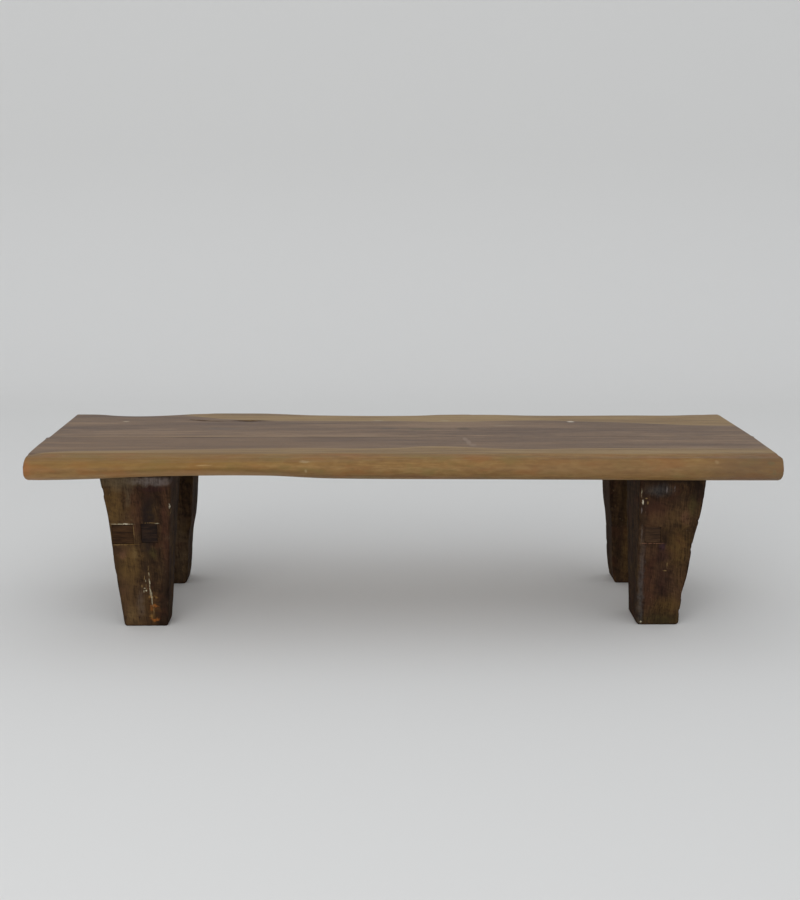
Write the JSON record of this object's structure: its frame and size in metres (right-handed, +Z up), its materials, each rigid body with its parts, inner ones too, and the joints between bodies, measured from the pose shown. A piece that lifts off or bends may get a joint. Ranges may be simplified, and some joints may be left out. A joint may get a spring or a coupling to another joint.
{
  "type": "backless bench",
  "caption": "Low backless bench with a thick two-board natural-edge seat on tapering hewn legs, dowelled and bracketed underneath.",
  "frame": {"origin": "on the floor, under the middle of the bench's length and depth", "axes": "+X along the bench to its right end seen from the front, -Y its front, +Z up"},
  "size_m": [1.8, 0.5864, 0.445],
  "materials": {
    "slab_wood": "oiled, planed smooth",
    "leg_wood": "old weathered timber, waxed",
    "patch_wood": "old weathered timber, waxed",
    "dowel_wood": "turned, bare",
    "bracket_steel": "plain mill steel, satin",
    "screw_steel": "zinc plated, satin"
  },
  "bodies": {
    "root": {"front_board": "slab_wood", "rear_board": "slab_wood", "board_joint_dowels": "dowel_wood", "front_left_leg": "leg_wood", "front_left_leg_dowels": "dowel_wood", "front_left_bracket": "bracket_steel", "front_left_bracket_screws": "screw_steel", "front_right_leg": "leg_wood", "front_right_leg_dowels": "dowel_wood", "front_right_bracket": "bracket_steel", "front_right_bracket_screws": "screw_steel", "rear_left_leg": "leg_wood", "rear_left_leg_dowels": "dowel_wood", "rear_left_bracket": "bracket_steel", "rear_left_bracket_screws": "screw_steel", "rear_right_leg": "leg_wood", "rear_right_leg_dowels": "dowel_wood", "rear_right_bracket": "bracket_steel", "rear_right_bracket_screws": "screw_steel", "front_left_leg_patch": "patch_wood", "front_left_leg_small_patch": "patch_wood", "front_right_leg_patch": "patch_wood"}
  },
  "joints": []
}
